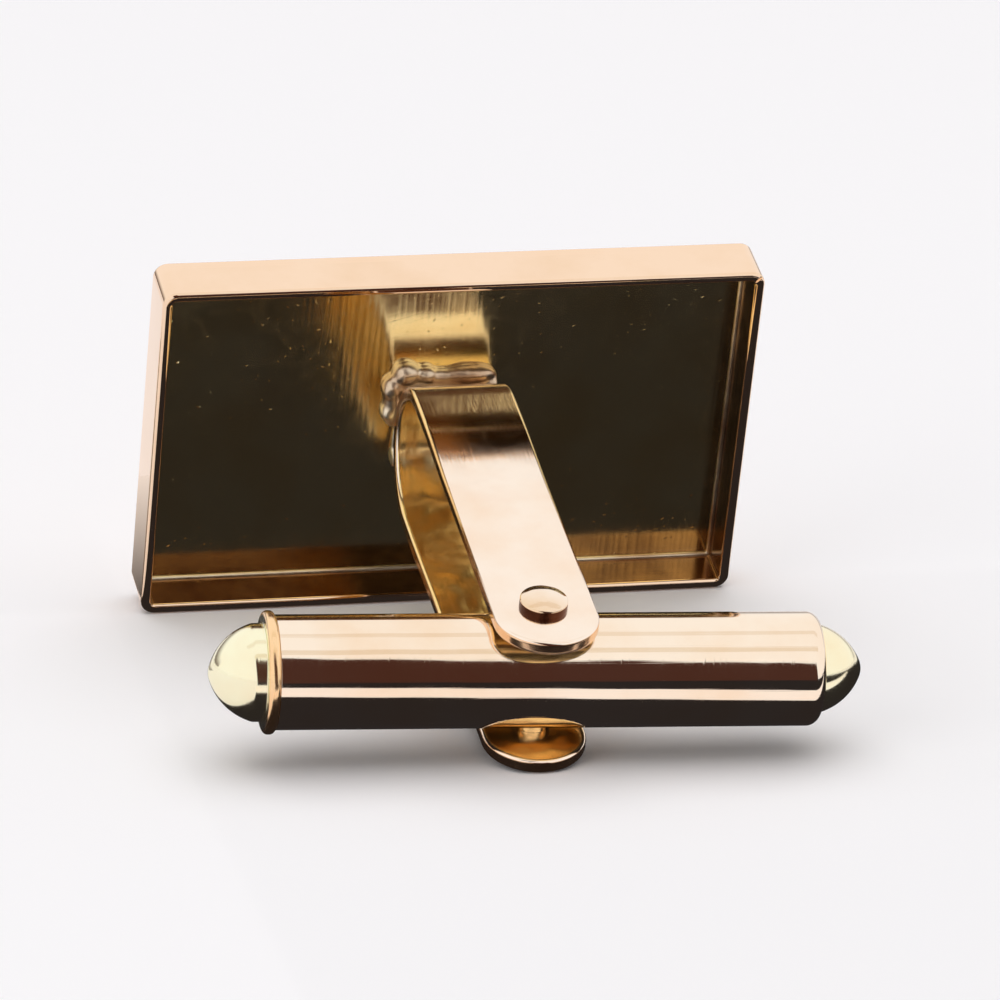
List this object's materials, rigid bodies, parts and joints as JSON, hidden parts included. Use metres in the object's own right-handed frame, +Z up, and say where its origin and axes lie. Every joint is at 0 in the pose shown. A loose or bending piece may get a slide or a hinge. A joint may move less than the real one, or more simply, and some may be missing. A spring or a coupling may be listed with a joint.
{
  "type": "cufflink",
  "caption": "Swivel-back cufflink: plain rectangular gold front with a hollow tray back, a bent strip shank and a sprung tubular toggle with domed ends.",
  "frame": {"origin": "bottom centre of the bounding box, on the ground, with the cufflink lying as pictured on the rim's lower long edge and the tip of the lower leg", "axes": "+X along the front plate's long side, +Y from the toggle towards the front plate, +Z up; the shank's axis drops 13.7 degrees towards the toggle"},
  "size_m": [0.0218, 0.0196, 0.0131],
  "materials": {
    "plate_gold": "mirror polished front, lightly scratched tray floor",
    "polished_gold": "mirror polished with fine wear",
    "shank_gold": "mirror polished outside, rougher and darker inside",
    "pin_gold": "polished riveted heads",
    "solder_gold": "satin, lumpy as it flowed",
    "spring_steel": "rolled strip"
  },
  "bodies": {
    "setting": {"face_plate": "plate_gold", "rim_frame": "polished_gold", "shank_solder": "solder_gold", "shank": "shank_gold", "pivot_pin": "pin_gold"},
    "toggle": {"toggle_tube": "polished_gold", "collar_cap": "polished_gold", "dome_cap": "polished_gold", "detent_spring_rear": "spring_steel", "detent_spring_front": "spring_steel"}
  },
  "joints": [
    {"name": "toggle_swivel", "type": "hinge", "parent": "setting", "child": "toggle", "pos_m": [0, -0.00703, 0.00306], "axis": [0, -0.2375, 0.9714], "range_deg": [-86, 94], "deforming": ["detent_spring_rear", "detent_spring_front"]}
  ]
}
